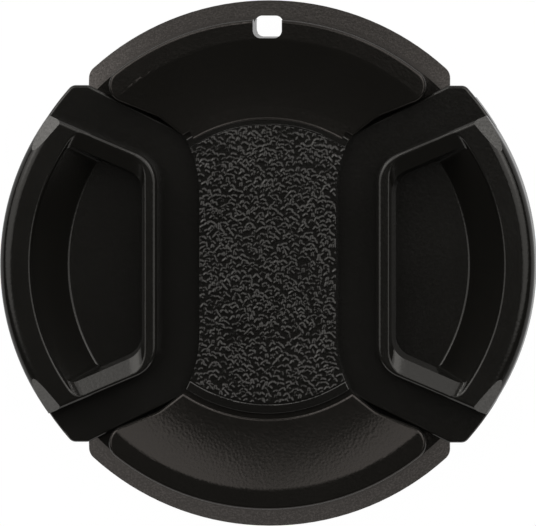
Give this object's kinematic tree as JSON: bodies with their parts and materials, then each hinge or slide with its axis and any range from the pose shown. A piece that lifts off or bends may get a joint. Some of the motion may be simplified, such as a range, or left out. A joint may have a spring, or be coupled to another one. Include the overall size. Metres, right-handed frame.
{
  "type": "camera lens cap",
  "caption": "Round clip-in lens cap in black plastic with an hourglass front, a textured centre panel, sprung pinch levers with finger pockets and a tether eye.",
  "frame": {"origin": "on the lens axis, in the plane of the rear rim that the cap lies on", "axes": "+X across the pinch levers, +Y towards the tether eye, +Z out of the front, away from the lens"},
  "size_m": [0.0618, 0.0608, 0.0104],
  "materials": {
    "cover_plastic": "fine matte moulding",
    "panel_plastic": "moulded leather grain",
    "lever_plastic": "satin moulding",
    "plate_plastic": "matte moulding",
    "spring_steel": "drawn wire"
  },
  "bodies": {
    "cap_body": {"front_cover": "cover_plastic", "centre_panel": "panel_plastic", "back_plate": "plate_plastic", "upper_spring": "spring_steel", "lower_spring": "spring_steel"},
    "left_pinch": {"left_lever": "lever_plastic"},
    "right_pinch": {"right_lever": "lever_plastic"}
  },
  "joints": [
    {"name": "left_pinch_slide", "type": "slide", "parent": "cap_body", "child": "left_pinch", "axis": [1, 0, 0], "range_m": [0, 0.0025], "stiffness_N_per_m": 400, "springref_m": -0.005, "deforming": ["upper_spring", "lower_spring"]},
    {"name": "right_pinch_slide", "type": "slide", "parent": "cap_body", "child": "right_pinch", "axis": [-1, 0, 0], "range_m": [0, 0.0025], "stiffness_N_per_m": 400, "springref_m": -0.005, "deforming": ["upper_spring", "lower_spring"]}
  ]
}
